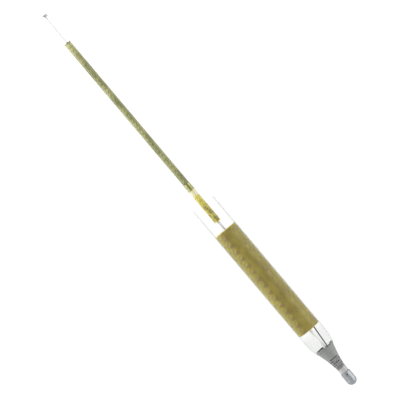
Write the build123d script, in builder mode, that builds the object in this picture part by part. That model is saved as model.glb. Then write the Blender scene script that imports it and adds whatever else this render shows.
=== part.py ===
from build123d import *
import os

# Flame sensor probe for a burner: a bare sensing rod in insulating sleeving, a thick insulated
# body in a clear film shroud, and a two-pole bullet terminal under a strain-relief boot.
#
# The probe's axis is X, with the tip towards -X. The origin is on the axis in the middle of the
# body, where a burner's clamp grips it. All sizes are in millimetres.

os.makedirs("parts", exist_ok=True)

# ---- driving dimensions -------------------------------------------------------------------------
body_length = 71.8
body_r = 7.05
body_wall = 0.7
rod_r = 1.70
sleeve_r = 1.95
sleeve_clearance = 0.05
stem_r = 0.77
bare_tip_length = 19.7
front_sleeve_length = 101.5
collar_length = 4.5
bead_length = 3.8
rear_sleeve_length = 18.7
stem_gap = 5.9
end_gap = 0.1
bead_chamfer = 0.1

# ---- stations along X ---------------------------------------------------------------------------
body_front = -body_length / 2
body_rear = body_length / 2
rear_sleeve_rear = body_front - stem_gap
rear_sleeve_front = rear_sleeve_rear - rear_sleeve_length
bead_rear = rear_sleeve_front - end_gap
bead_front = bead_rear - bead_length
collar_front = bead_front - collar_length
front_sleeve_rear = collar_front - end_gap
front_sleeve_front = front_sleeve_rear - front_sleeve_length
tip_x = front_sleeve_front - bare_tip_length

# ---- rod and stem -------------------------------------------------------------------------------
rod_short_of_sleeve = 6.5
rod_rear = rear_sleeve_rear - rod_short_of_sleeve
rod_socket_depth = 4.0
rod_tip_chamfer = 0.45
braze_length = 0.9
braze_r = 1.45
collar_slit = 0.6
collar_rim_r = 2.3
collar_rim_length = 0.3
stem_rear = 6.0

# ---- inside of the body -------------------------------------------------------------------------
bore_r = body_r - body_wall
end_recess = 0.6
cement_length = 3.4
washer_thickness = 0.5
washer_r = 6.2
core_r = 5.9
front_core_length = 28.0
rear_core_length = 17.4
stem_bore_r = 0.80
lock_pocket_r = 2.3
lock_pocket_depth = 5.0
lock_r = 2.1
lock_length = 4.0
screen_half_length = 25.0
screen_tube_r_in = 5.93
screen_tube_r_out = 6.28
front_cement_front = body_front + end_recess
front_washer_front = front_cement_front + cement_length
front_core_front = front_washer_front + washer_thickness
front_core_rear = front_core_front + front_core_length
rear_cement_front = body_rear - end_recess - cement_length
rear_washer_front = rear_cement_front - washer_thickness
rear_core_front = rear_washer_front - rear_core_length

# ---- splice and leads ---------------------------------------------------------------------------
splice_r = 1.45
splice_front = 1.0
splice_length = 12.0
signal_r = 0.27
signal_y = 0.25
signal_front = 7.0
signal_rear = 60.4
screen_r = 0.35
screen_y = 3.05
screen_wall_y = screen_tube_r_in - screen_r
screen_front = 3.0
screen_drop_start = 7.0
screen_drop_end = 11.6
screen_exit = 0.4
screen_slant_start = body_rear - screen_exit
screen_slant_end = 53.6
screen_rear = 58.6
screen_bend_radii = [3.0, 3.0, 20.0, 15.0]
signal_tubing_r = 0.75
screen_tubing_r = 0.85
tubing_overhang = 1.0
tubing_recess = 0.9
tubing_front = rear_core_front - tubing_overhang
tubing_rear = body_rear - tubing_recess
signal_tubing_rear = 52.5

# ---- terminal and boot --------------------------------------------------------------------------
boot_mouth = 48.4
boot_rear = 63.0
boot_mouth_r = 5.95
boot_waist = 55.8
boot_waist_r = 3.80
boot_neck_r = 2.55
boot_mouth_wall = 0.8
boot_rim_fillet = 0.2
boot_inner_waist_r = 3.3
mouth_scallops = 3
mouth_scallop_r = 4.5
mouth_scallop_depth = 0.9
mouth_scallop_turn = -32.0
ferrule_front = 57.0
ferrule_r_in = 1.75
ferrule_r_out = 2.05
screen_cup_y = ferrule_r_in - screen_r
ferrule_flange_r = 2.50
ferrule_flange_length = 0.3
neck_slot_rows = 5
neck_slot_pitch = 1.4
neck_slot_margin = 1.2
neck_slot_depth = 2.0
neck_slot_width = 0.6
neck_slot_arc = 80.0
neck_slot_floor_r = 2.30
neck_slot_floor_rise = 0.12
neck_slots_per_row = 3
pin_r = 0.80
pin_front = 58.2
pin_cup_r = 0.60
pin_cup_depth = 2.6
pin_insulator_front = 60.2
ring_r = 2.65
ring_length = 3.1
ring_chamfer = 0.25
bullet_r = 2.95
bullet_length = 8.4
bullet_chamfer = 0.3
bullet_nose = 2.9
bullet_bore_depth = 4.0
solder_hole_r = 0.45
solder_hole_from_ring = 1.5
ring_front = boot_rear + ferrule_flange_length
bullet_front = ring_front + ring_length
bullet_rear = bullet_front + bullet_length
pin_rear = bullet_front + bullet_bore_depth

# ---- clear film shroud --------------------------------------------------------------------------
shroud_wall = 0.25
shroud_overhang = 18.4
shroud_front = body_front - shroud_overhang
shroud_taper = 43.6
shroud_rear = 49.8
shroud_rear_r = 5.52
shroud_boot_clearance = 0.03
shroud_r = body_r + shroud_wall
shroud_mouth_r = boot_mouth_r + shroud_boot_clearance


# ---- rod, sleeving and stem ---------------------------------------------------------------------
with BuildPart() as sensing_rod:
    with BuildSketch(Plane.YZ.offset(tip_x)):
        Circle(rod_r)
    extrude(amount=rod_rear - tip_x)
    chamfer(sensing_rod.edges().group_by(Axis.X)[0], length=rod_tip_chamfer)
    with BuildSketch(Plane.YZ.offset(rod_rear)):
        Circle(stem_r)
    extrude(amount=-rod_socket_depth, mode=Mode.SUBTRACT)
sensing_rod.part.label = "sensing_rod"
export_step(sensing_rod.part, "parts/sensing_rod.step")

with BuildPart() as front_sleeve:
    with BuildSketch(Plane.YZ.offset(front_sleeve_front)):
        Circle(sleeve_r)
        Circle(rod_r + sleeve_clearance, mode=Mode.SUBTRACT)
    extrude(amount=front_sleeve_length)
front_sleeve.part.label = "front_sleeve"
export_step(front_sleeve.part, "parts/front_sleeve.step")

with BuildPart() as splice_collar:
    with BuildSketch(Plane.YZ.offset(collar_front)):
        Circle(sleeve_r)
        Circle(rod_r, mode=Mode.SUBTRACT)
        with Locations((0, sleeve_r)):
            Rectangle(collar_slit, sleeve_r * 2, mode=Mode.SUBTRACT)
    extrude(amount=collar_length)
    with BuildSketch(Plane.YZ.offset(bead_front - collar_rim_length)):
        Circle(collar_rim_r)
        Circle(rod_r, mode=Mode.SUBTRACT)
        with Locations((0, sleeve_r)):
            Rectangle(collar_slit, sleeve_r * 2, mode=Mode.SUBTRACT)
    extrude(amount=collar_rim_length)
splice_collar.part.label = "splice_collar"
export_step(splice_collar.part, "parts/splice_collar.step")

with BuildPart() as spacer_bead:
    with BuildSketch(Plane.YZ.offset(bead_front)):
        Circle(sleeve_r)
        Circle(rod_r, mode=Mode.SUBTRACT)
    extrude(amount=bead_length)
    chamfer(spacer_bead.faces().sort_by(Axis.X)[0].outer_wire().edges(), length=bead_chamfer)
    chamfer(spacer_bead.faces().sort_by(Axis.X)[-1].outer_wire().edges(), length=bead_chamfer)
spacer_bead.part.label = "spacer_bead"
export_step(spacer_bead.part, "parts/spacer_bead.step")

with BuildPart() as rear_sleeve:
    with BuildSketch(Plane.YZ.offset(rear_sleeve_front)):
        Circle(sleeve_r)
        Circle(rod_r + sleeve_clearance, mode=Mode.SUBTRACT)
    extrude(amount=rear_sleeve_length)
rear_sleeve.part.label = "rear_sleeve"
export_step(rear_sleeve.part, "parts/rear_sleeve.step")

with BuildPart() as stem:
    with BuildSketch(Plane.YZ.offset(rod_rear - rod_socket_depth)):
        Circle(stem_r)
    extrude(amount=stem_rear - rod_rear + rod_socket_depth)
stem.part.label = "stem"
export_step(stem.part, "parts/stem.step")

with BuildPart() as rod_braze:
    with BuildSketch(Plane.XY):
        with BuildLine():
            Polyline(
                (rod_rear, stem_r),
                (rod_rear, braze_r),
                (rod_rear + braze_length, stem_r),
                close=True,
            )
        make_face()
    revolve(axis=Axis.X)
rod_braze.part.label = "rod_braze"
export_step(rod_braze.part, "parts/rod_braze.step")

# ---- body ---------------------------------------------------------------------------------------
with BuildPart() as body_sleeve:
    with BuildSketch(Plane.YZ.offset(body_front)):
        Circle(body_r)
        Circle(bore_r, mode=Mode.SUBTRACT)
    extrude(amount=body_length)
body_sleeve.part.label = "body_sleeve"
export_step(body_sleeve.part, "parts/body_sleeve.step")

with BuildPart() as front_cement:
    with BuildSketch(Plane.YZ.offset(front_cement_front)):
        Circle(bore_r)
        Circle(stem_r, mode=Mode.SUBTRACT)
    extrude(amount=cement_length)
front_cement.part.label = "front_cement"
export_step(front_cement.part, "parts/front_cement.step")

with BuildPart() as front_washer:
    with BuildSketch(Plane.YZ.offset(front_washer_front)):
        Circle(washer_r)
        Circle(stem_bore_r, mode=Mode.SUBTRACT)
    extrude(amount=washer_thickness)
front_washer.part.label = "front_washer"
export_step(front_washer.part, "parts/front_washer.step")

with BuildPart() as front_core:
    with BuildSketch(Plane.YZ.offset(front_core_front)):
        Circle(core_r)
        Circle(stem_bore_r, mode=Mode.SUBTRACT)
    extrude(amount=front_core_length)
    with BuildSketch(Plane.YZ.offset(front_core_rear)):
        Circle(lock_pocket_r)
    extrude(amount=-lock_pocket_depth, mode=Mode.SUBTRACT)
front_core.part.label = "front_core"
export_step(front_core.part, "parts/front_core.step")

with BuildPart() as stem_lock:
    with BuildSketch(Plane.YZ.offset(front_core_rear - lock_pocket_depth)):
        RegularPolygon(lock_r, 6)
        Circle(stem_r, mode=Mode.SUBTRACT)
    extrude(amount=lock_length)
stem_lock.part.label = "stem_lock"
export_step(stem_lock.part, "parts/stem_lock.step")

with BuildPart() as screen_tube:
    with BuildSketch(Plane.YZ.offset(-screen_half_length)):
        Circle(screen_tube_r_out)
        Circle(screen_tube_r_in, mode=Mode.SUBTRACT)
    extrude(amount=2 * screen_half_length)
screen_tube.part.label = "screen_tube"
export_step(screen_tube.part, "parts/screen_tube.step")

with BuildPart() as rear_core:
    with BuildSketch(Plane.YZ.offset(rear_core_front)):
        Circle(core_r)
        with Locations((signal_y, 0)):
            Circle(signal_tubing_r, mode=Mode.SUBTRACT)
        with Locations((screen_y, 0)):
            Circle(screen_tubing_r, mode=Mode.SUBTRACT)
    extrude(amount=rear_core_length)
rear_core.part.label = "rear_core"
export_step(rear_core.part, "parts/rear_core.step")

with BuildPart() as rear_washer:
    with BuildSketch(Plane.YZ.offset(rear_washer_front)):
        Circle(washer_r)
        with Locations((signal_y, 0)):
            Circle(signal_tubing_r, mode=Mode.SUBTRACT)
        with Locations((screen_y, 0)):
            Circle(screen_tubing_r, mode=Mode.SUBTRACT)
    extrude(amount=washer_thickness)
rear_washer.part.label = "rear_washer"
export_step(rear_washer.part, "parts/rear_washer.step")

with BuildPart() as rear_cement:
    with BuildSketch(Plane.YZ.offset(rear_cement_front)):
        Circle(bore_r)
        with Locations((signal_y, 0)):
            Circle(signal_tubing_r, mode=Mode.SUBTRACT)
        with Locations((screen_y, 0)):
            Circle(screen_tubing_r, mode=Mode.SUBTRACT)
    extrude(amount=cement_length)
rear_cement.part.label = "rear_cement"
export_step(rear_cement.part, "parts/rear_cement.step")

# ---- splice and leads ---------------------------------------------------------------------------
with BuildPart() as splice_barrel:
    with BuildSketch(Plane.YZ.offset(splice_front)):
        Circle(splice_r)
    extrude(amount=splice_length)
    with BuildSketch(Plane.YZ.offset(splice_front)):
        Circle(stem_r)
    extrude(amount=stem_rear - splice_front, mode=Mode.SUBTRACT)
    with BuildSketch(Plane.YZ.offset(splice_front + splice_length)):
        with Locations((signal_y, 0)):
            Circle(signal_r)
    extrude(amount=signal_front - splice_front - splice_length, mode=Mode.SUBTRACT)
splice_barrel.part.label = "splice_barrel"
export_step(splice_barrel.part, "parts/splice_barrel.step")

with BuildPart() as signal_lead:
    with BuildSketch(Plane.YZ.offset(signal_front)):
        with Locations((signal_y, 0)):
            Circle(signal_r)
    extrude(amount=signal_rear - signal_front)
signal_lead.part.label = "signal_lead"
export_step(signal_lead.part, "parts/signal_lead.step")

with BuildPart() as signal_tubing:
    with BuildSketch(Plane.YZ.offset(tubing_front)):
        with Locations((signal_y, 0)):
            Circle(signal_tubing_r)
            Circle(signal_r, mode=Mode.SUBTRACT)
    extrude(amount=signal_tubing_rear - tubing_front)
signal_tubing.part.label = "signal_tubing"
export_step(signal_tubing.part, "parts/signal_tubing.step")

with BuildPart() as screen_tubing:
    with BuildSketch(Plane.YZ.offset(tubing_front)):
        with Locations((screen_y, 0)):
            Circle(screen_tubing_r)
            Circle(screen_r, mode=Mode.SUBTRACT)
    extrude(amount=tubing_rear - tubing_front)
screen_tubing.part.label = "screen_tubing"
export_step(screen_tubing.part, "parts/screen_tubing.step")

# The screen lead starts on the screen tube's wall, drops to its bore in the rear core, and slants
# in towards the ferrule behind the body.
with BuildPart() as screen_lead:
    with BuildLine() as screen_route:
        FilletPolyline(
            (screen_front, screen_wall_y),
            (screen_drop_start, screen_wall_y),
            (screen_drop_end, screen_y),
            (screen_slant_start, screen_y),
            (screen_slant_end, screen_cup_y),
            (screen_rear, screen_cup_y),
            radius=screen_bend_radii,
        )
    with BuildSketch(Plane.YZ.offset(screen_front)):
        with Locations((screen_wall_y, 0)):
            Circle(screen_r)
    sweep()
screen_lead.part.label = "screen_lead"
export_step(screen_lead.part, "parts/screen_lead.step")

# ---- terminal and boot --------------------------------------------------------------------------
with BuildPart() as boot:
    with BuildSketch(Plane.XY):
        with BuildLine():
            ThreePointArc(
                (boot_mouth, boot_mouth_r),
                (boot_waist, boot_waist_r),
                (boot_rear, boot_neck_r),
            )
            Line((boot_rear, boot_neck_r), (boot_rear, ferrule_r_out))
            Line((boot_rear, ferrule_r_out), (ferrule_front, ferrule_r_out))
            ThreePointArc(
                (ferrule_front, ferrule_r_out),
                ((ferrule_front + boot_mouth) / 2, boot_inner_waist_r),
                (boot_mouth, boot_mouth_r - boot_mouth_wall),
            )
            Line((boot_mouth, boot_mouth_r - boot_mouth_wall), (boot_mouth, boot_mouth_r))
        make_face()
    revolve(axis=Axis.X)
    fillet(boot.edges().filter_by(GeomType.CIRCLE).group_by(Axis.X)[0], radius=boot_rim_fillet)
    for scallop in range(mouth_scallops):
        turn = mouth_scallop_turn + scallop * 360 / mouth_scallops
        with BuildSketch(Plane.XY.rotated((turn, 0, 0))):
            with Locations((boot_mouth + mouth_scallop_depth - mouth_scallop_r, 0)):
                Circle(mouth_scallop_r)
        extrude(amount=boot_mouth_r * 2, mode=Mode.SUBTRACT)
    for row in range(neck_slot_rows):
        slot_x = boot_rear - neck_slot_margin - row * neck_slot_pitch
        floor_r = neck_slot_floor_r + row * neck_slot_floor_rise
        for slot in range(neck_slots_per_row):
            turn = slot * 360 / neck_slots_per_row + (row % 2) * 180 / neck_slots_per_row
            slot_plane = Plane.XY.rotated((turn - neck_slot_arc / 2 + 90, 0, 0))
            with BuildSketch(slot_plane):
                with Locations((slot_x, floor_r + neck_slot_depth / 2)):
                    Rectangle(neck_slot_width, neck_slot_depth)
            revolve(axis=Axis.X, revolution_arc=neck_slot_arc, mode=Mode.SUBTRACT)
boot.part.label = "boot"
export_step(boot.part, "parts/boot.step")

with BuildPart() as crimp_ferrule:
    with BuildSketch(Plane.YZ.offset(ferrule_front)):
        Circle(ferrule_r_out)
    extrude(amount=boot_rear - ferrule_front)
    with BuildSketch(Plane.YZ.offset(boot_rear)):
        Circle(ferrule_flange_r)
    extrude(amount=ferrule_flange_length)
    with BuildSketch(Plane.YZ.offset(ferrule_front)):
        Circle(ferrule_r_in)
    extrude(amount=ring_front - ferrule_front, mode=Mode.SUBTRACT)
crimp_ferrule.part.label = "crimp_ferrule"
export_step(crimp_ferrule.part, "parts/crimp_ferrule.step")

with BuildPart() as pin_insulator:
    with BuildSketch(Plane.YZ.offset(pin_insulator_front)):
        Circle(ferrule_r_in)
        Circle(pin_r, mode=Mode.SUBTRACT)
    extrude(amount=ring_front - pin_insulator_front)
pin_insulator.part.label = "pin_insulator"
export_step(pin_insulator.part, "parts/pin_insulator.step")

with BuildPart() as contact_pin:
    with BuildSketch(Plane.YZ.offset(pin_front)):
        Circle(pin_r)
    extrude(amount=pin_rear - pin_front)
    with BuildSketch(Plane.YZ.offset(pin_front)):
        Circle(pin_cup_r)
    extrude(amount=pin_cup_depth, mode=Mode.SUBTRACT)
contact_pin.part.label = "contact_pin"
export_step(contact_pin.part, "parts/contact_pin.step")

with BuildPart() as insulating_ring:
    with BuildSketch(Plane.YZ.offset(ring_front)):
        Circle(ring_r)
        Circle(pin_r, mode=Mode.SUBTRACT)
    extrude(amount=ring_length)
    chamfer(insulating_ring.faces().sort_by(Axis.X)[-1].outer_wire().edges(), length=ring_chamfer)
insulating_ring.part.label = "insulating_ring"
export_step(insulating_ring.part, "parts/insulating_ring.step")

with BuildPart() as contact_bullet:
    with BuildSketch(Plane.XY):
        with BuildLine():
            Polyline(
                (bullet_rear, 0),
                (bullet_front + bullet_bore_depth, 0),
                (bullet_front + bullet_bore_depth, pin_r),
                (bullet_front, pin_r),
                (bullet_front, bullet_r - bullet_chamfer),
                (bullet_front + bullet_chamfer, bullet_r),
                (bullet_rear - bullet_nose, bullet_r),
            )
            EllipticalCenterArc(
                (bullet_rear - bullet_nose, 0),
                bullet_nose,
                bullet_r,
                start_angle=0,
                arc_size=90,
            )
        make_face()
    revolve(axis=Axis.X)
    with BuildSketch(Plane.XY.offset(bullet_r)):
        with Locations((bullet_front + solder_hole_from_ring, 0)):
            Circle(solder_hole_r)
    extrude(amount=pin_r - bullet_r, mode=Mode.SUBTRACT)
contact_bullet.part.label = "contact_bullet"
export_step(contact_bullet.part, "parts/contact_bullet.step")

# ---- clear film shroud --------------------------------------------------------------------------
with BuildPart() as clear_shroud:
    with BuildSketch(Plane.XY):
        with BuildLine():
            Polyline(
                (shroud_front, body_r),
                (shroud_front, shroud_r),
                (shroud_taper, shroud_r),
                (boot_mouth, shroud_mouth_r + shroud_wall),
                (shroud_rear, shroud_rear_r + shroud_wall),
                (shroud_rear, shroud_rear_r),
                (boot_mouth, shroud_mouth_r),
                (shroud_taper, body_r),
                close=True,
            )
        make_face()
    revolve(axis=Axis.X)
clear_shroud.part.label = "clear_shroud"
export_step(clear_shroud.part, "parts/clear_shroud.step")
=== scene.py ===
"""Looks of the flame sensor probe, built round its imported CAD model. Everything is in metres.

The probe lies along X with its tip towards -X, on a pale floor, and is seen from straight above.
"""
import math

import bpy
import numpy as np
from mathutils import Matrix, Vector


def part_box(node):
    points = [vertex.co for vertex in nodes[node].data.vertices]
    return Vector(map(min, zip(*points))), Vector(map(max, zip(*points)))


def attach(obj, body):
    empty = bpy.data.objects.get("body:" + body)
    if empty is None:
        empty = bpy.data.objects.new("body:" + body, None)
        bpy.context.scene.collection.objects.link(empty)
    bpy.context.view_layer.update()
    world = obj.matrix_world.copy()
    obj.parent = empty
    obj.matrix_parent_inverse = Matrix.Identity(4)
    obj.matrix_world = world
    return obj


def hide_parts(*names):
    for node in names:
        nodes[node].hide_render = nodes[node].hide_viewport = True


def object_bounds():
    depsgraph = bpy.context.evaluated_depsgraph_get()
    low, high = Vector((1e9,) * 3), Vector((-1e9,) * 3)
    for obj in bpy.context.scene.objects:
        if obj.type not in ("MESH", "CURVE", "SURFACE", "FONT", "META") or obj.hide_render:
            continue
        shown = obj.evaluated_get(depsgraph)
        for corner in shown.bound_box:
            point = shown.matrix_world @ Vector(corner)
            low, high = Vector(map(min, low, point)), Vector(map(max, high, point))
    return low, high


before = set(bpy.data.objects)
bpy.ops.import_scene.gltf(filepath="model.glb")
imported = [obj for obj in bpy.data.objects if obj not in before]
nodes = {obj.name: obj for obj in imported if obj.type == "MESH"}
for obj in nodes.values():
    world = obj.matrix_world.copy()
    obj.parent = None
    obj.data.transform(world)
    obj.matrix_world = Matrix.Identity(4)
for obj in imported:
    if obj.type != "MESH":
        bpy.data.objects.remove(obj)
cad_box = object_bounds()

MM = 0.001
TURN = 2 * math.pi

BODY_BUNDLES = 12
BODY_PITCH = 4.73 * MM
BODY_WALL = 0.7 * MM
THIN_BUNDLES = 8
THIN_PITCH = 2.7 * MM
THIN_WALL = 0.2 * MM
FIBRES_PER_BUNDLE = 7
INNER_RINGS = 9
ROUNDED_END = 0.35 * MM
ROUNDED_SHARE = 0.35
CUT_END = 0.45 * MM
FULL_VARNISH = 0.9
FRAY_SEED = 7
TONGUE_START = 31.4 * MM
TONGUE_REACH = 0.42
FILM_WALL = 0.22 * MM
FILM_AROUND = 160
FILM_MARGIN = 0.01 * MM
FILM_TAPER = 7.7 * MM
FILM_RIM_DROP = 1.53 * MM
FILM_OVER_BOOT = 0.40 * MM
PUCKERS = 11
PUCKER_DEPTH = 0.16 * MM
WAVE_DEPTH = 0.05 * MM
FLOOR_HALF = 3.0
VIEW_X, VIEW_Y, VIEW_Z = -57.3 * MM, 0.1 * MM, 1.1
VIEW_TURN = 49.82


def reach(node):
    """A node's first and last place along X, and its largest distance from the X axis in Z."""
    low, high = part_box(node)
    return low.x, high.x, high.z


tip_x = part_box("sensing_rod")[0].x
body_front, body_rear, body_r = reach("body_sleeve")
shroud_front, shroud_rear, shroud_r = reach("clear_shroud")
boot_mouth, boot_rear, boot_r = reach("boot")
sleeve_front, sleeve_rear, sleeve_r = reach("front_sleeve")
bright_front, bright_rear, bright_r = reach("rear_sleeve")


# ---- material helpers ---------------------------------------------------------------------------
class Paint:
    """A node material under construction: short calls that make nodes and return their outputs."""

    def __init__(self, name, roughness=0.5, metallic=0.0, **sockets):
        self.material = bpy.data.materials.new(name)
        self.material.use_nodes = True
        self.tree = self.material.node_tree
        self.shader = self.tree.nodes["Principled BSDF"]
        self.shader.inputs["Roughness"].default_value = roughness
        self.shader.inputs["Metallic"].default_value = metallic
        for socket, value in sockets.items():
            self.shader.inputs[socket.replace("_", " ")].default_value = value
        self.place = None

    def node(self, kind, **settings):
        made = self.tree.nodes.new(kind)
        for key, value in settings.items():
            setattr(made, key, value)
        return made

    def plug(self, source, target):
        if isinstance(source, (int, float)):
            target.default_value = source
        elif isinstance(source, tuple):
            target.default_value = (*source, 1.0) if len(source) == 3 else source
        else:
            self.tree.links.new(source, target)

    def where(self):
        """The point on the piece, in metres in the row frame at rest."""
        if self.place is None:
            self.place = self.node("ShaderNodeTexCoord").outputs["Object"]
        return self.place

    def axis(self, letter):
        split = self.node("ShaderNodeSeparateXYZ")
        self.plug(self.where(), split.inputs[0])
        return split.outputs[letter]

    def math(self, operation, a, b=0.0, c=0.0):
        made = self.node("ShaderNodeMath", operation=operation)
        self.plug(a, made.inputs[0])
        self.plug(b, made.inputs[1])
        self.plug(c, made.inputs[2])
        return made.outputs[0]

    def outward(self):
        """How far the surface faces away from the X axis: 1 outside a tube, -1 in its bore."""
        coordinates = self.node("ShaderNodeTexCoord")
        flat = self.node("ShaderNodeVectorMath", operation="MULTIPLY")
        self.plug(coordinates.outputs["Object"], flat.inputs[0])
        flat.inputs[1].default_value = (0.0, 1.0, 1.0)
        radial = self.node("ShaderNodeVectorMath", operation="NORMALIZE")
        self.plug(flat.outputs[0], radial.inputs[0])
        facing = self.node("ShaderNodeVectorMath", operation="DOT_PRODUCT")
        self.plug(radial.outputs[0], facing.inputs[0])
        self.plug(coordinates.outputs["Normal"], facing.inputs[1])
        return facing.outputs["Value"]

    def stretched(self, x, y, z):
        made = self.node("ShaderNodeMapping")
        self.plug(self.where(), made.inputs["Vector"])
        made.inputs["Scale"].default_value = (x, y, z)
        return made.outputs[0]

    def noise(self, scale, detail=4.0, roughness=0.55, vector=None):
        made = self.node("ShaderNodeTexNoise")
        self.plug(self.where() if vector is None else vector, made.inputs["Vector"])
        made.inputs["Scale"].default_value = scale
        made.inputs["Detail"].default_value = detail
        made.inputs["Roughness"].default_value = roughness
        return made.outputs["Fac"]

    def ramp(self, source, *stops):
        """Colours along source: each stop is a place from 0 to 1 and a linear colour."""
        made = self.node("ShaderNodeValToRGB")
        band = made.color_ramp
        while len(band.elements) < len(stops):
            band.elements.new(0.5)
        for element, (place, colour) in zip(band.elements, stops):
            element.position = place
            element.color = (*colour, 1.0)
        self.plug(source, made.inputs[0])
        return made.outputs["Color"]

    def span(self, source, low, high, new_low=0.0, new_high=1.0):
        made = self.node("ShaderNodeMapRange")
        self.plug(source, made.inputs["Value"])
        for socket, value in zip(made.inputs[1:5], (low, high, new_low, new_high)):
            socket.default_value = value
        return made.outputs[0]

    def mix(self, share, a, b, blend="MIX"):
        made = self.node("ShaderNodeMix", data_type="RGBA", blend_type=blend)
        self.plug(share, made.inputs["Factor"])
        self.plug(a, made.inputs["A"])
        self.plug(b, made.inputs["B"])
        return made.outputs["Result"]

    def bump(self, height, distance, strength=1.0):
        made = self.node("ShaderNodeBump")
        self.plug(height, made.inputs["Height"])
        made.inputs["Distance"].default_value = distance
        made.inputs["Strength"].default_value = strength
        self.plug(made.outputs[0], self.shader.inputs["Normal"])

    def colour(self, source):
        self.plug(source, self.shader.inputs["Base Color"])

    def rough(self, source):
        self.plug(source, self.shader.inputs["Roughness"])


# ---- materials ----------------------------------------------------------------------------------
def varnished_braid(name, deep, base, light, roughness, patch, gloss, extra=None, cut=None):
    """Varnished glass-fibre braid: mottled along the length, with painted shade between the
    bundles and on the bundles of one set.

    extra(paint, tone) recolours it by place, and cut is the colour of its cut ends. Left out, the
    cut ends are pale: fresh fibres, with a painted highlight along the rim.
    """
    p = Paint(name, roughness, Coat_Weight=gloss, Coat_Roughness=0.28, Sheen_Weight=0.9)
    p.shader.inputs["Sheen Roughness"].default_value = 0.3
    blotch = p.noise(1 / patch, 3.0, 0.6, p.stretched(1.0, 1.4, 1.4))
    fine = p.noise(1900, 5.0, 0.7)
    tone = p.ramp(blotch, (0.34, deep), (0.50, base), (0.66, light))
    tone = p.mix(p.span(fine, 0.35, 0.75, 0.0, 0.3), tone, tuple(c * 0.6 for c in deep))
    if extra:
        tone = extra(p, tone)
    # Painted shade: the bundles of one set are darker than those of the other, as if lit from one
    # side.
    forward = p.node("ShaderNodeAttribute", attribute_name="forward").outputs["Fac"]
    tone = p.mix(p.math("MULTIPLY", forward, 0.45), tone, deep)
    # Painted shade: darker where the braid lies low between the bundles, and in its bore.
    raised = p.node("ShaderNodeAttribute", attribute_name="height").outputs["Fac"]
    tone = p.mix(p.span(raised, 0.05, 0.75, 0.42, 0.0), tone, tuple(c * 0.45 for c in deep))
    end = p.node("ShaderNodeAttribute", attribute_name="end").outputs["Fac"]
    # Pale cut ends by default: fresh fibres, and a painted highlight along the rim.
    cut = cut or tuple(min(1, c * 2.1) for c in light)
    p.colour(p.mix(p.math("MULTIPLY", end, 0.85), tone, cut))
    p.rough(p.span(fine, 0.2, 0.8, roughness * 0.75, roughness * 1.35))
    fibres = p.node("ShaderNodeAttribute", attribute_name="fibre").outputs["Fac"]
    p.bump(p.math("ADD", p.math("SINE", fibres), p.math("MULTIPLY", fine, 1.3)), 0.03 * MM, 0.6)
    return p.material


def front_sleeve_tones(p, tone):
    """Darker at the cut front end, pale for a few millimetres behind it, darker by the collar."""
    fresh = p.span(p.axis("X"), sleeve_front + 1 * MM, sleeve_front + 9 * MM, 0.75, 0.0)
    tone = p.mix(fresh, tone, (0.47, 0.47, 0.19))
    soaked = p.span(p.axis("X"), sleeve_rear - 7 * MM, sleeve_rear - 1 * MM, 0.0, 0.55)
    tone = p.mix(soaked, tone, (0.13, 0.135, 0.04))
    # Darker over the first millimetre behind the front end.
    dark_front_end = p.span(p.axis("X"), sleeve_front + 0.4 * MM, sleeve_front + 1.1 * MM, 0.85, 0.0)
    return p.mix(dark_front_end, tone, (0.075, 0.072, 0.058))


def brown_flecks(p, tone):
    """Browned varnish in short flecks over the rear two thirds of the bright sleeve."""
    behind = p.span(p.axis("X"), bright_front + 6 * MM, bright_front + 8 * MM)
    speck = p.span(p.noise(650, 2.0, 0.6, p.stretched(0.5, 1.0, 1.0)), 0.47, 0.55)
    aged = p.mix(p.math("MULTIPLY", behind, 0.5), tone, (0.36, 0.29, 0.045))
    fleck = p.math("MULTIPLY", p.math("MULTIPLY", speck, behind), 0.9)
    return p.mix(fleck, aged, (0.14, 0.115, 0.012))


def varnish_tone_and_painted_light(p, tone):
    """Yellower where no varnish has settled, browner where more has gathered: the varnish's tone,
    with a painted highlight on the bare flanks and painted shade in the tongues.
    """
    settled = p.node("ShaderNodeAttribute", attribute_name="settled").outputs["Fac"]
    # Painted highlight: the bare flanks yellower than the varnished top.
    tone = p.mix(p.span(settled, 0.1, 0.6, 0.30, 0.0), tone, (0.33, 0.30, 0.022))
    # Painted shade: the tongues between the highlight teeth turned browner.
    return p.mix(p.span(settled, 0.86, 0.98, 0.0, 0.75), tone, (0.125, 0.085, 0.003))


def rod_metal():
    """Bright drawn wire: darker at its tip, a flame tint with painted shade of the end face;
    stained by varnish under the sleeves, with painted shade where it shows in the collar slit.
    """
    p = Paint("rod_metal", 0.3, 1.0)
    from_tip = p.math("SUBTRACT", p.axis("X"), tip_x)
    drawn = p.noise(900, 6.0, 0.7, p.stretched(0.03, 1.0, 1.0))
    ripple = p.math("MULTIPLY_ADD", p.noise(420, 3.0), 1.2 * MM, -0.6 * MM)
    # Painted shade of the end face, with a flame tint: dark grey over about the last 1.5 mm of the
    # tip.
    heat_and_end_shade = p.span(p.math("ADD", from_tip, ripple), 0.0, 8 * MM)
    tone = p.ramp(
        heat_and_end_shade,
        (0.0, (0.33, 0.335, 0.345)),
        (0.16, (0.46, 0.465, 0.48)),
        (0.22, (0.84, 0.83, 0.80)),
        (0.45, (0.93, 0.92, 0.88)),
        (1.0, (0.96, 0.96, 0.955)),
    )
    tone = p.mix(p.span(drawn, 0.5, 0.85, 0.0, 0.2), tone, (0.70, 0.70, 0.69))
    # Varnish stain under the sleeves, and also painted shade where the rod shows in the collar
    # slit.
    covered = p.span(from_tip, sleeve_front - tip_x + 0.6 * MM, sleeve_front - tip_x + 2 * MM)
    p.colour(p.mix(covered, tone, (0.27, 0.26, 0.13)))
    p.rough(p.span(drawn, 0.3, 0.7, 0.28, 0.5))
    p.bump(drawn, 0.01 * MM, 0.4)
    return p.material


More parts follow.
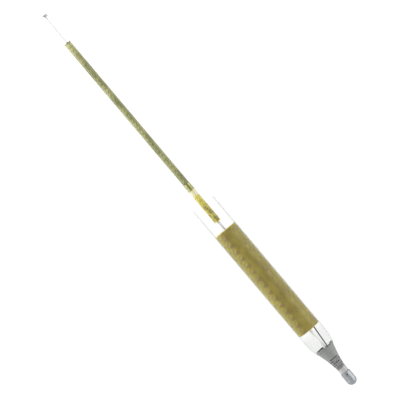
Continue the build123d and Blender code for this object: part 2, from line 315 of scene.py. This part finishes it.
def plain_metal(name, light, dark, low, high, metallic=1.0, **sockets):
    """Metal with fine turning or drawing lines and slight tarnish."""
    p = Paint(name, high, metallic, **sockets)
    turned = p.noise(1400, 5.0, 0.65, p.stretched(1.0, 0.06, 0.06))
    tarnish = p.noise(420, 4.0, 0.6)
    tone = p.mix(p.span(tarnish, 0.4, 0.75, 0.0, 0.8), light, dark)
    p.colour(tone)
    p.rough(p.span(turned, 0.3, 0.7, low, high))
    p.bump(turned, 0.008 * MM, 0.6)
    return p.material


def grainy(name, light, dark, roughness, grain, depth, **sockets):
    """Matt mineral or moulded surface: two tones and a fine bump."""
    p = Paint(name, roughness, **sockets)
    cloud = p.noise(grain * 0.22, 4.0, 0.6)
    fine = p.noise(grain, 6.0, 0.7)
    tone = p.mix(p.span(cloud, 0.35, 0.7), light, dark)
    p.colour(p.mix(p.span(fine, 0.5, 0.85, 0.0, 0.4), tone, tuple(c * 0.6 for c in dark)))
    p.rough(p.span(fine, 0.25, 0.8, roughness * 0.8, min(1.0, roughness * 1.2)))
    p.bump(fine, depth, 0.7)
    return p.material


def boot_rubber():
    """Grey moulded rubber: clouded, speckled dark on the neck, with painted shade near black
    inside.
    """
    p = Paint("boot_rubber", 0.48, Specular_IOR_Level=0.45)
    along = p.span(p.axis("X"), boot_mouth, boot_rear)
    cloud = p.noise(600, 4.0, 0.6)
    fine = p.noise(3800, 5.0, 0.7)
    tone = p.ramp(
        along,
        (0.0, (0.20, 0.205, 0.20)),
        (0.35, (0.195, 0.20, 0.193)),
        (0.62, (0.205, 0.21, 0.205)),
        (1.0, (0.19, 0.195, 0.19)),
    )
    tone = p.mix(p.span(cloud, 0.4, 0.75, 0.0, 0.5), tone, (0.29, 0.295, 0.29))
    speckled = p.span(along, 0.42, 0.62)
    dark = p.math("MULTIPLY", p.span(p.noise(1500, 3.0, 0.8), 0.52, 0.6), speckled)
    tone = p.mix(p.math("MULTIPLY", dark, 0.75), tone, (0.03, 0.03, 0.03))
    # Painted shade: near black on the surfaces that face the axis, inside the boot.
    p.colour(p.mix(p.span(p.outward(), -0.6, -0.1, 1.0, 0.0), tone, (0.028, 0.028, 0.030)))
    p.rough(p.span(fine, 0.3, 0.7, 0.38, 0.6))
    p.bump(p.math("ADD", fine, p.math("MULTIPLY", cloud, 2.0)), 0.02 * MM, 0.6)
    return p.material


def clear_film():
    """Clear film: nearly nothing face on, painted grey shade where it turns away, hazier over the
    rear gap.
    """
    p = Paint("clear_film", 0.06, Base_Color=(0.27, 0.31, 0.28, 1.0))
    edge = p.node("ShaderNodeLayerWeight")
    edge.inputs["Blend"].default_value = 0.25
    milky = p.noise(90, 3.0, 0.6, p.stretched(0.35, 1.0, 1.0))
    gap = p.span(p.axis("X"), body_rear - 1 * MM, body_rear + 6 * MM, 0.003, 0.065)
    haze = p.math("MULTIPLY", p.span(milky, 0.35, 0.75, 0.6, 1.4), gap)
    # Painted shade along the film's edges, stronger at the front than at the rear.
    rim = p.math("POWER", edge.outputs["Facing"], 3.0)
    rim = p.math("MULTIPLY", rim, p.span(p.axis("X"), body_front, body_rear, 1.5, 0.75))
    p.plug(p.math("ADD", haze, rim), p.shader.inputs["Alpha"])
    p.rough(p.span(milky, 0.3, 0.7, 0.04, 0.12))
    p.bump(p.noise(260, 2.0, 0.5, p.stretched(0.5, 1.0, 1.0)), 0.05 * MM, 0.4)
    return p.material


def bullet_metal():
    """Satin zinc-nickel, slightly blue, with turning rings, scuffs and a duller handled rim."""
    p = Paint("bullet_metal", 0.4, 0.85)
    rings = p.noise(2600, 3.0, 0.6, p.stretched(1.0, 0.04, 0.04))
    scuff = p.noise(700, 5.0, 0.7)
    tone = p.mix(p.span(scuff, 0.35, 0.75), (0.26, 0.275, 0.29), (0.41, 0.425, 0.44))
    rim_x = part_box("contact_bullet")[0].x
    handled = p.span(p.axis("X"), rim_x + 0.4 * MM, rim_x + 1.6 * MM, 0.8, 0.0)
    p.colour(p.mix(handled, tone, (0.29, 0.295, 0.30)))
    p.rough(p.span(scuff, 0.3, 0.75, 0.36, 0.58))
    p.bump(p.math("ADD", rings, p.math("MULTIPLY", scuff, 0.6)), 0.012 * MM, 0.7)
    return p.material


def ring_plastic():
    """Slightly translucent pale grey plastic with faint moulding rings."""
    p = Paint("ring_plastic", 0.3, Subsurface_Weight=0.25, Subsurface_Scale=0.6 * MM)
    p.shader.inputs["Subsurface Radius"].default_value = (1.0, 1.0, 1.0)
    rings = p.noise(1500, 3.0, 0.6, p.stretched(1.0, 0.05, 0.05))
    p.colour(p.mix(p.span(rings, 0.3, 0.7), (0.31, 0.31, 0.31), (0.44, 0.44, 0.44)))
    p.rough(p.span(rings, 0.3, 0.7, 0.22, 0.42))
    p.bump(rings, 0.02 * MM, 0.7)
    return p.material


def dark_enamel():
    """Black enamel on a drawn wire."""
    p = Paint("dark_enamel", 0.3, Coat_Weight=0.4, Coat_Roughness=0.12)
    worn = p.noise(1200, 4.0, 0.6, p.stretched(0.3, 1.0, 1.0))
    p.colour(p.mix(p.span(worn, 0.62, 0.8), (0.012, 0.012, 0.013), (0.10, 0.08, 0.07)))
    p.rough(p.span(worn, 0.3, 0.7, 0.22, 0.42))
    p.bump(worn, 0.01 * MM, 0.5)
    return p.material


olive_varnish = varnished_braid(
    "olive_varnish",
    deep=(0.150, 0.155, 0.042),
    base=(0.270, 0.275, 0.098),
    light=(0.370, 0.355, 0.150),
    roughness=0.45,
    patch=6 * MM,
    gloss=0.25,
    extra=front_sleeve_tones,
    cut=(0.085, 0.085, 0.060),
)
yellow_varnish = varnished_braid(
    "yellow_varnish",
    deep=(0.36, 0.31, 0.030),
    base=(0.54, 0.48, 0.070),
    light=(0.66, 0.60, 0.13),
    roughness=0.38,
    patch=4 * MM,
    gloss=0.25,
    extra=brown_flecks,
)
body_varnish = varnished_braid(
    "body_varnish",
    deep=(0.175, 0.128, 0.008),
    base=(0.240, 0.190, 0.015),
    light=(0.290, 0.240, 0.026),
    roughness=0.48,
    patch=8 * MM,
    gloss=0.2,
    extra=varnish_tone_and_painted_light,
)


# ---- mesh helpers -------------------------------------------------------------------------------
def mesh_object(name, points, faces, material, smooth=True, attributes=None):
    mesh = bpy.data.meshes.new(name)
    mesh.from_pydata([tuple(p) for p in points], [], faces)
    mesh.validate()
    if smooth:
        mesh.shade_smooth()
    for key, values in (attributes or {}).items():
        layer = mesh.attributes.new(key, "FLOAT", "POINT")
        layer.data.foreach_set("value", np.asarray(values, np.float32))
    mesh.materials.append(material)
    made = bpy.data.objects.new(name, mesh)
    bpy.context.scene.collection.objects.link(made)
    return made


def tube_faces(rows, around):
    """Quads of a closed band of rings: the last ring joins the first, as on a tube with walls."""
    faces = []
    for i in range(rows):
        a, b = i * around, ((i + 1) % rows) * around
        for j in range(around):
            k = (j + 1) % around
            faces.append((a + j, b + j, b + k, a + k))
    return faces


def yarn_profile(share):
    """Height across one yarn bundle, 0 at its sides and 1 in its middle."""
    return np.sin(math.pi * share) ** 0.8


def braid_height(x, angle, bundles, pitch):
    """Height of a plain braid of two helical sets of bundles, and the way its fibres run."""
    a = bundles * angle / TURN + x / pitch
    b = bundles * angle / TURN - x / pitch
    over = 0.5 * (1 + np.sin(math.pi * (b + np.floor(a))))
    under = 0.5 * (1 - np.sin(math.pi * (a + np.floor(b))))
    first = yarn_profile(a % 1.0) * (0.25 + 0.75 * over)
    second = yarn_profile(b % 1.0) * (0.25 + 0.75 * under)
    height = np.maximum(first, second)
    fibre = np.where(first > second, a, b) * TURN * FIBRES_PER_BUNDLE
    return height, fibre, first > second


def braided_tube(
    name, x0, x1, r_in, r_out, bundles, pitch, depth, around, step, material, fray, filled=None
):
    """A tube of braid with real thickness: the braid's relief outside, plain inside, uneven ends.

    filled(x, angle) is how much varnish has levelled the relief there, from 0 to 1.
    """
    rows = max(8, int((x1 - x0) / step))
    x = np.linspace(x0, x1, rows + 1)
    angle = np.arange(around) * TURN / around
    grid_x, grid_a = np.meshgrid(x, angle, indexing="ij")
    height, fibre, forward = braid_height(grid_x, grid_a, bundles, pitch)
    level = filled(grid_x, grid_a) if filled else np.zeros_like(grid_x)
    height = height * (1 - level) + FULL_VARNISH * level
    forward = forward * (1 - level) + 0.5 * level
    rng = np.random.default_rng(FRAY_SEED)
    ragged = rng.uniform(0, fray, (2, around))
    grid_x = grid_x.copy()
    grid_x[0] += ragged[0]
    grid_x[-1] -= ragged[1]
    radius = r_out - depth * (1 - height)
    rounded = np.minimum(grid_x - x0, x1 - grid_x)
    radius -= (r_out - r_in) * ROUNDED_SHARE * np.clip(1 - rounded / ROUNDED_END, 0, 1) ** 2
    outer = np.stack([grid_x, radius * np.cos(grid_a), radius * np.sin(grid_a)], -1)
    inner_x = np.linspace(x1, x0, INNER_RINGS)
    inner = np.stack(
        [
            np.repeat(inner_x[:, None], around, 1),
            np.repeat((r_in * np.cos(angle))[None], INNER_RINGS, 0),
            np.repeat((r_in * np.sin(angle))[None], INNER_RINGS, 0),
        ],
        -1,
    )
    inner[0, :, 0] = grid_x[-1]
    inner[-1, :, 0] = grid_x[0]
    points = np.concatenate([outer, inner]).reshape(-1, 3)
    flat = np.zeros((INNER_RINGS, around))
    end = np.clip(1 - rounded / CUT_END, 0, 1)
    data = {
        "end": np.concatenate([end, flat + 1.0]).ravel(),
        "forward": np.concatenate([forward, flat]).ravel(),
        "height": np.concatenate([height, flat + 0.3]).ravel(),
        "fibre": np.concatenate([fibre, flat]).ravel(),
        "settled": np.concatenate([level, flat]).ravel(),
    }
    faces = tube_faces(rows + 1 + INNER_RINGS, around)
    return mesh_object(name, points, faces, material, attributes=data)


def varnish_settled(x, angle):
    """Varnish lies along the top of the body, with tongues between the bundles towards -Y."""
    from_top = (math.pi / 2 - angle + math.pi) % TURN - math.pi
    tongue = 0.5 + 0.5 * np.cos(TURN * (x + TONGUE_START) / BODY_PITCH)
    shifted = from_top + TONGUE_REACH * tongue * (from_top < 0)
    ends = (-math.pi, -0.50, -0.22, 0.35, 0.50, 1.30, 1.60, math.pi + 1)
    shares = (0.0, 0.0, 0.85, 0.85, 0.45, 0.35, 0.0, 0.0)
    # Extra varnish in the tongues, which also marks where painted shade turns them browner.
    tongue_pool_shade = tongue * np.clip((-0.14 - from_top) / 0.16, 0, 1)
    return np.interp(shifted, ends, shares) * (1 + 0.17 * tongue_pool_shade)


# ---- braided pieces -----------------------------------------------------------------------------
def body_braid():
    made = braided_tube(
        "body_braid",
        body_front,
        body_rear,
        r_in=body_r - BODY_WALL,
        r_out=body_r - 0.02 * MM,
        bundles=BODY_BUNDLES,
        pitch=BODY_PITCH,
        depth=0.34 * MM,
        around=168,
        step=0.33 * MM,
        material=body_varnish,
        fray=0.12 * MM,
        filled=varnish_settled,
    )
    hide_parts("body_sleeve")
    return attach(made, "probe")


def thin_braid(name, x0, x1, r_out, depth, step, material, fray):
    return braided_tube(
        name,
        x0,
        x1,
        r_in=r_out - THIN_WALL,
        r_out=r_out,
        bundles=THIN_BUNDLES,
        pitch=THIN_PITCH,
        depth=depth,
        around=56,
        step=step,
        material=material,
        fray=fray,
    )


def thin_braids():
    olive = thin_braid(
        "front_sleeve_braid",
        sleeve_front,
        sleeve_rear,
        sleeve_r,
        depth=0.10 * MM,
        step=0.3 * MM,
        material=olive_varnish,
        fray=0.10 * MM,
    )
    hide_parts("front_sleeve")
    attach(olive, "front_sleeve")
    bright = thin_braid(
        "rear_sleeve_braid",
        bright_front,
        bright_rear,
        bright_r,
        depth=0.09 * MM,
        step=0.25 * MM,
        material=yellow_varnish,
        fray=0.08 * MM,
    )
    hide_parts("rear_sleeve")
    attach(bright, "rear_sleeve")


# ---- clear film ---------------------------------------------------------------------------------
def film_shroud():
    """Shrunk film: snug on the body, a slightly wavy front end, puckers at the rear taper."""
    taper = body_rear + FILM_TAPER
    rim_r = shroud_r - FILM_RIM_DROP
    profile_x = np.concatenate(
        [
            np.linspace(shroud_front, body_front, 26),
            np.linspace(body_front, taper, 60)[1:],
            np.linspace(taper, shroud_rear, 26)[1:],
        ]
    )
    slope = np.interp(
        profile_x,
        [shroud_front, taper, boot_mouth, shroud_rear],
        [shroud_r, shroud_r, boot_r + FILM_OVER_BOOT, rim_r],
    )
    soft = np.convolve(np.pad(slope, 3, mode="edge"), np.ones(7) / 7, "valid")
    angle = np.arange(FILM_AROUND) * TURN / FILM_AROUND
    grid_x, grid_a = np.meshgrid(profile_x, angle, indexing="ij")
    tight = np.clip((grid_x - taper) / (boot_mouth - taper), 0, 1)
    tight = np.sin(tight * math.pi * 0.5) * np.clip((shroud_rear - grid_x) / (2 * MM), 0.35, 1)
    pucker = np.cos(grid_a * PUCKERS + 0.8 * np.sin(grid_a * 3)) ** 4 * PUCKER_DEPTH * tight
    free = np.clip((body_front - grid_x) / (body_front - shroud_front), 0, 1)
    wave = (1 - np.cos(grid_a * 2 + 1.1)) * WAVE_DEPTH * free
    outer_r = soft[:, None] - pucker - wave - FILM_MARGIN
    inner_r = outer_r - FILM_WALL
    outer = np.stack([grid_x, outer_r * np.cos(grid_a), outer_r * np.sin(grid_a)], -1)
    inner = np.stack([grid_x, inner_r * np.cos(grid_a), inner_r * np.sin(grid_a)], -1)[::-1]
    points = np.concatenate([outer, inner]).reshape(-1, 3)
    faces = tube_faces(2 * len(profile_x), FILM_AROUND)
    made = mesh_object("film_shroud", points, faces, clear_film())
    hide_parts("clear_shroud")
    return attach(made, "probe")


# ---- CAD nodes that stay ------------------------------------------------------------------------
def dress_cad_nodes():
    bright_nickel = plain_metal(
        "bright_nickel", (0.62, 0.62, 0.615), (0.48, 0.48, 0.475), 0.25, 0.45
    )
    dull_nickel = plain_metal(
        "dull_nickel",
        (0.58, 0.58, 0.58),
        (0.50, 0.50, 0.50),
        0.5,
        0.7,
        metallic=0.2,
        Specular_IOR_Level=0.2,
    )
    ceramic = grainy("steatite", (0.80, 0.78, 0.72), (0.70, 0.67, 0.60), 0.75, 2200, 0.03 * MM)
    mica = grainy("mica", (0.58, 0.52, 0.40), (0.40, 0.34, 0.24), 0.35, 900, 0.03 * MM)
    cement = grainy("cement", (0.26, 0.21, 0.05), (0.14, 0.11, 0.03), 0.85, 1300, 0.10 * MM)
    collar = plain_metal("collar_metal", (0.34, 0.34, 0.15), (0.22, 0.22, 0.09), 0.40, 0.60)
    bead = grainy(
        "bead_glaze",
        (0.58, 0.54, 0.34),
        (0.50, 0.46, 0.27),
        0.22,
        900,
        0.01 * MM,
        Coat_Weight=0.5,
        Coat_Roughness=0.08,
    )
    tinned = plain_metal("tinned", (0.74, 0.74, 0.72), (0.58, 0.57, 0.54), 0.25, 0.45)
    tubing = grainy("white_tubing", (0.86, 0.86, 0.84), (0.78, 0.78, 0.75), 0.4, 1800, 0.01 * MM)
    screen = plain_metal("screen_metal", (0.62, 0.62, 0.61), (0.44, 0.44, 0.43), 0.3, 0.5)
    ferrule = plain_metal("ferrule_metal", (0.22, 0.22, 0.22), (0.08, 0.08, 0.08), 0.35, 0.55)
    ring = ring_plastic()
    looks = {
        "sensing_rod": rod_metal(),
        "splice_collar": collar,
        "spacer_bead": bead,
        "stem": dull_nickel,
        "rod_braze": plain_metal("braze_alloy", (0.72, 0.66, 0.48), (0.4, 0.34, 0.2), 0.3, 0.5),
        "front_cement": cement,
        "rear_cement": cement,
        "front_washer": mica,
        "rear_washer": mica,
        "front_core": ceramic,
        "rear_core": ceramic,
        "stem_lock": collar,
        "screen_tube": screen,
        "splice_barrel": tinned,
        "signal_lead": bright_nickel,
        "signal_tubing": tubing,
        "screen_lead": dark_enamel(),
        "screen_tubing": tubing,
        "boot": boot_rubber(),
        "crimp_ferrule": ferrule,
        "pin_insulator": ring,
        "contact_pin": tinned,
        "insulating_ring": ring,
        "contact_bullet": bullet_metal(),
    }
    for name, material in looks.items():
        mesh = nodes[name].data
        mesh.materials.clear()
        mesh.materials.append(material)


# ---- floor, light and camera --------------------------------------------------------------------
def floor():
    """A lit white table, bright enough to swallow the probe's shadow."""
    p = Paint("floor_white", 0.8, Emission_Strength=0.88)
    p.shader.inputs["Emission Color"].default_value = (1.0, 1.0, 1.0, 1.0)
    p.colour(p.mix(p.noise(6.0, 3.0), (0.14, 0.14, 0.14), (0.16, 0.16, 0.16)))
    level = cad_box[0].z
    signs = ((-1, -1), (1, -1), (1, 1), (-1, 1))
    corners = [(x * FLOOR_HALF, y * FLOOR_HALF, level) for x, y in signs]
    made = mesh_object("floor", corners, [(0, 1, 2, 3)], p.material, smooth=False)


def softbox(name, place, aim, width, length, power):
    light = bpy.data.lights.new(name, "AREA")
    light.shape = "RECTANGLE"
    light.size = width
    light.size_y = length
    light.energy = power
    made = bpy.data.objects.new(name, light)
    made.location = place
    made.rotation_euler = (Vector(aim) - Vector(place)).to_track_quat("-Z", "X").to_euler()
    bpy.context.scene.collection.objects.link(made)


def lighting():
    """A white tent, a little darker overhead, with a low strip light along each side."""
    world = bpy.data.worlds.new("tent")
    bpy.context.scene.world = world
    world.use_nodes = True
    tree = world.node_tree
    way = tree.nodes.new("ShaderNodeTexCoord")
    split = tree.nodes.new("ShaderNodeSeparateXYZ")
    band = tree.nodes.new("ShaderNodeMapRange")
    tree.links.new(way.outputs["Generated"], split.inputs[0])
    tree.links.new(split.outputs["Z"], band.inputs["Value"])
    for socket, value in zip(band.inputs[1:5], (0.70, 0.95, 1.0, 0.72)):
        socket.default_value = value
    sky = tree.nodes["Background"]
    sky.inputs["Color"].default_value = (1.0, 1.0, 1.0, 1.0)
    tree.links.new(band.outputs[0], sky.inputs["Strength"])
    middle = (-0.05, 0.0, 0.0)
    softbox("left_strip", (-0.34, -0.55, 0.17), middle, 0.05, 0.35, 4.0)
    softbox("right_strip", (0.10, 0.60, 0.26), middle, 0.4, 0.7, 2.1)
    bpy.context.scene.view_settings.view_transform = "Standard"


def camera():
    """Straight above, 1.1 m from the axis, so that the view is 220 mm wide there."""
    data = bpy.data.cameras.new("camera")
    data.sensor_width = 36.0
    data.lens = 180.0
    made = bpy.data.objects.new("camera", data)
    made.location = (VIEW_X, VIEW_Y, VIEW_Z)
    made.rotation_euler = (0.0, 0.0, math.radians(VIEW_TURN))
    bpy.context.scene.collection.objects.link(made)
    bpy.context.scene.camera = made


camera()
lighting()
floor()
body_braid()
thin_braids()
film_shroud()
dress_cad_nodes()
